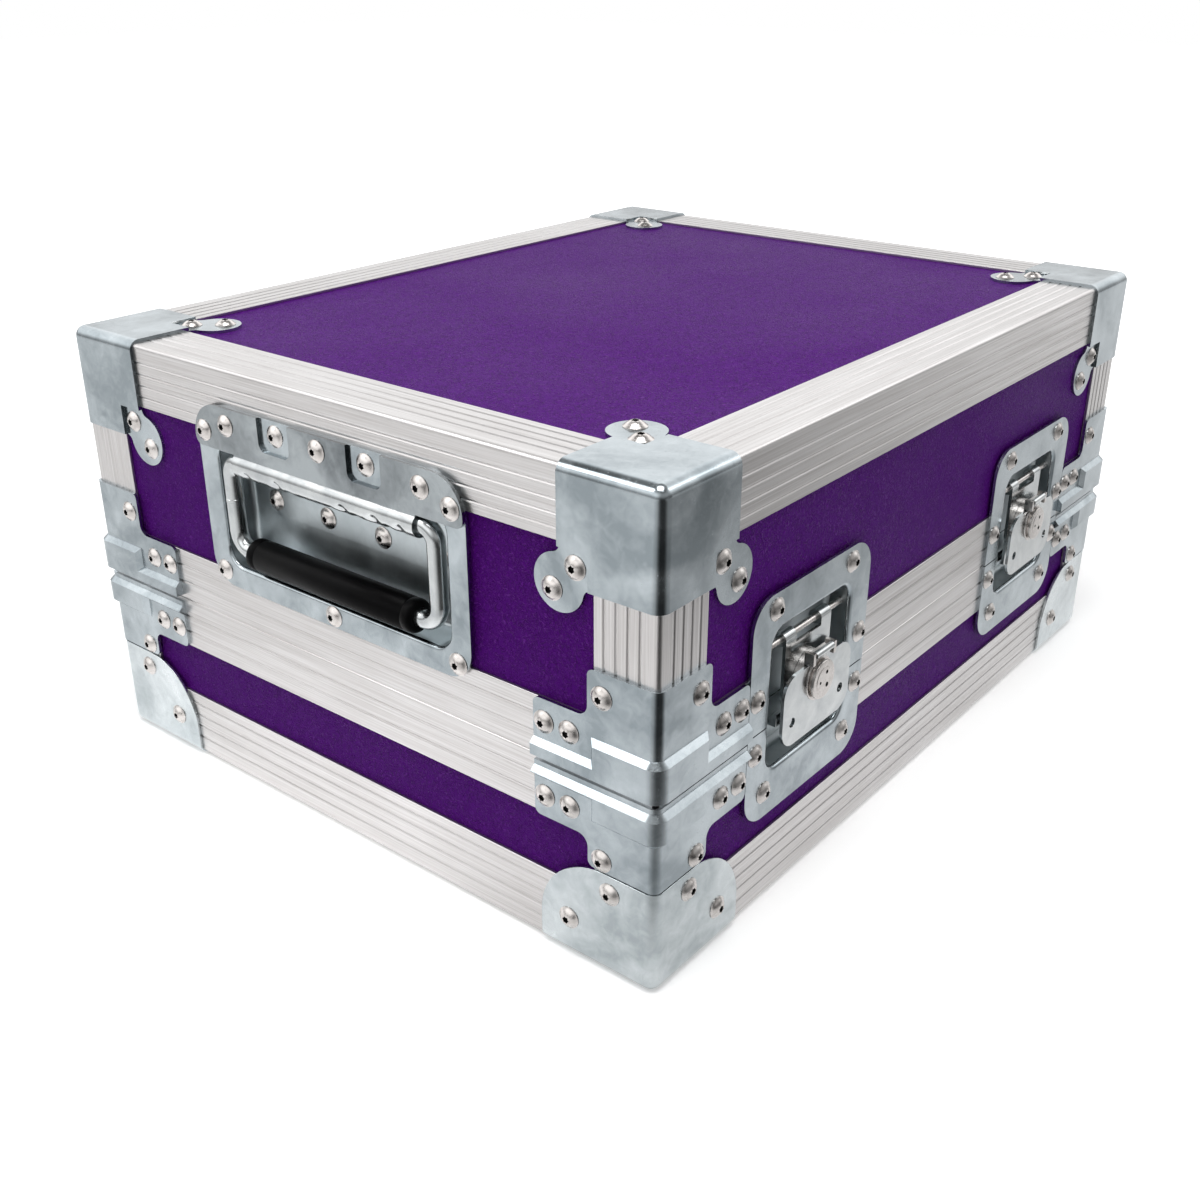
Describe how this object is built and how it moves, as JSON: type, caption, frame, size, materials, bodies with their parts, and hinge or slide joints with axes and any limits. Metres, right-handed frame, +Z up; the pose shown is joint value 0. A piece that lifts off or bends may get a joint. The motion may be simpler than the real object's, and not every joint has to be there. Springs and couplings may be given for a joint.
{
  "type": "pedalboard flight case",
  "caption": "Shallow flight case with aluminium edges, steel corners, twist latches at the front, a spring handle on each end and a deep lid hinged at the back.",
  "frame": {"origin": "on the ground, under the middle of the whole case", "axes": "+X to the right along the front, +Y to the hinged back, +Z up"},
  "size_m": [0.448, 0.3648, 0.217],
  "materials": {
    "laminate": "purple textured laminate on plywood",
    "extrusion": "brushed, clear anodised",
    "zinc_sheet": "zinc plated, mottled blue-grey",
    "bright_steel": "bright nickel plate",
    "rivet": "bright nickel, domed",
    "rubber": "smooth satin black",
    "foam": "fine dark grey foam"
  },
  "bodies": {
    "base": {"base_panel_front": "laminate", "base_panel_back": "laminate", "base_panel_left": "laminate", "base_panel_right": "laminate", "base_panel_bottom": "laminate", "base_foam": "foam", "base_edge_front": "extrusion", "base_edge_back": "extrusion", "base_edge_left": "extrusion", "base_edge_right": "extrusion", "base_uprights": "extrusion", "base_rim": "extrusion", "base_corners": "zinc_sheet", "lower_braces": "zinc_sheet", "latch_lower_dish_left": "zinc_sheet", "latch_lower_dish_right": "zinc_sheet", "latch_keeper_left": "zinc_sheet", "latch_keeper_right": "zinc_sheet", "hinge_base_leaves": "zinc_sheet", "hinge_pins": "bright_steel", "base_rivets": "rivet"},
    "lid": {"lid_panel_front": "laminate", "lid_panel_back": "laminate", "lid_panel_left": "laminate", "lid_panel_right": "laminate", "lid_panel_top": "laminate", "lid_foam": "foam", "lid_edge_front": "extrusion", "lid_edge_back": "extrusion", "lid_edge_left": "extrusion", "lid_edge_right": "extrusion", "lid_uprights": "extrusion", "lid_rim": "extrusion", "lid_corner_near_left": "zinc_sheet", "lid_corner_near_right": "zinc_sheet", "lid_corner_far_left": "zinc_sheet", "lid_corner_far_right": "zinc_sheet", "upper_braces": "zinc_sheet", "latch_upper_dish_left": "zinc_sheet", "latch_upper_dish_right": "zinc_sheet", "latch_rods": "bright_steel", "handle_dish_left": "zinc_sheet", "handle_dish_right": "zinc_sheet", "handle_hinge_left": "zinc_sheet", "handle_hinge_right": "zinc_sheet", "hinge_lid_leaves": "zinc_sheet", "lid_rivets": "rivet"},
    "handle_left": {"handle_bail_left": "zinc_sheet", "handle_grip_left": "rubber"},
    "handle_right": {"handle_bail_right": "zinc_sheet", "handle_grip_right": "rubber"},
    "swing_left": {"latch_swing_left": "zinc_sheet"},
    "hook_left": {"latch_hook_left": "zinc_sheet"},
    "hub_left": {"latch_hub_left": "bright_steel"},
    "wing_left": {"latch_wing_left": "zinc_sheet"},
    "swing_right": {"latch_swing_right": "zinc_sheet"},
    "hook_right": {"latch_hook_right": "zinc_sheet"},
    "hub_right": {"latch_hub_right": "bright_steel"},
    "wing_right": {"latch_wing_right": "zinc_sheet"}
  },
  "joints": [
    {"name": "lid_hinge", "type": "hinge", "parent": "base", "child": "lid", "pos_m": [0, 0.1787, 0.09], "axis": [-1, 0, 0], "range_deg": [0, 95]},
    {"name": "handle_left_lift", "type": "hinge", "parent": "lid", "child": "handle_left", "pos_m": [-0.2165, 0.0004, 0.1725], "axis": [0, 1, 0], "range_deg": [0, 90], "stiffness_Nm_per_rad": 0.1},
    {"name": "handle_right_lift", "type": "hinge", "parent": "lid", "child": "handle_right", "pos_m": [0.2165, 0.0004, 0.1725], "axis": [0, -1, 0], "range_deg": [0, 90], "stiffness_Nm_per_rad": 0.1},
    {"name": "swing_left_hinge", "type": "hinge", "parent": "lid", "child": "swing_left", "pos_m": [-0.111, -0.17, 0.123], "axis": [-1, 0, 0], "range_deg": [0, 60]},
    {"name": "hub_left_turn", "type": "hinge", "parent": "swing_left", "child": "hub_left", "pos_m": [-0.111, -0.1736, 0.101], "axis": [0, -1, 0], "range_deg": [0, 180]},
    {"name": "hook_left_slide", "type": "slide", "parent": "swing_left", "child": "hook_left", "axis": [0, 0, -1], "range_m": [0, 0.007]},
    {"name": "wing_left_fold", "type": "hinge", "parent": "hub_left", "child": "wing_left", "pos_m": [-0.111, -0.1806, 0.1144], "axis": [-1, 0, 0], "range_deg": [0, 90]},
    {"name": "swing_right_hinge", "type": "hinge", "parent": "lid", "child": "swing_right", "pos_m": [0.111, -0.17, 0.123], "axis": [-1, 0, 0], "range_deg": [0, 60]},
    {"name": "hub_right_turn", "type": "hinge", "parent": "swing_right", "child": "hub_right", "pos_m": [0.111, -0.1736, 0.101], "axis": [0, -1, 0], "range_deg": [0, 180]},
    {"name": "hook_right_slide", "type": "slide", "parent": "swing_right", "child": "hook_right", "axis": [0, 0, -1], "range_m": [0, 0.007]},
    {"name": "wing_right_fold", "type": "hinge", "parent": "hub_right", "child": "wing_right", "pos_m": [0.111, -0.1806, 0.1144], "axis": [-1, 0, 0], "range_deg": [0, 90]}
  ],
  "couplings": [
    {"joint": "hook_left_slide", "follows": "hub_left_turn", "m_per_rad": 0.0022282},
    {"joint": "hook_right_slide", "follows": "hub_right_turn", "m_per_rad": 0.0022282}
  ]
}
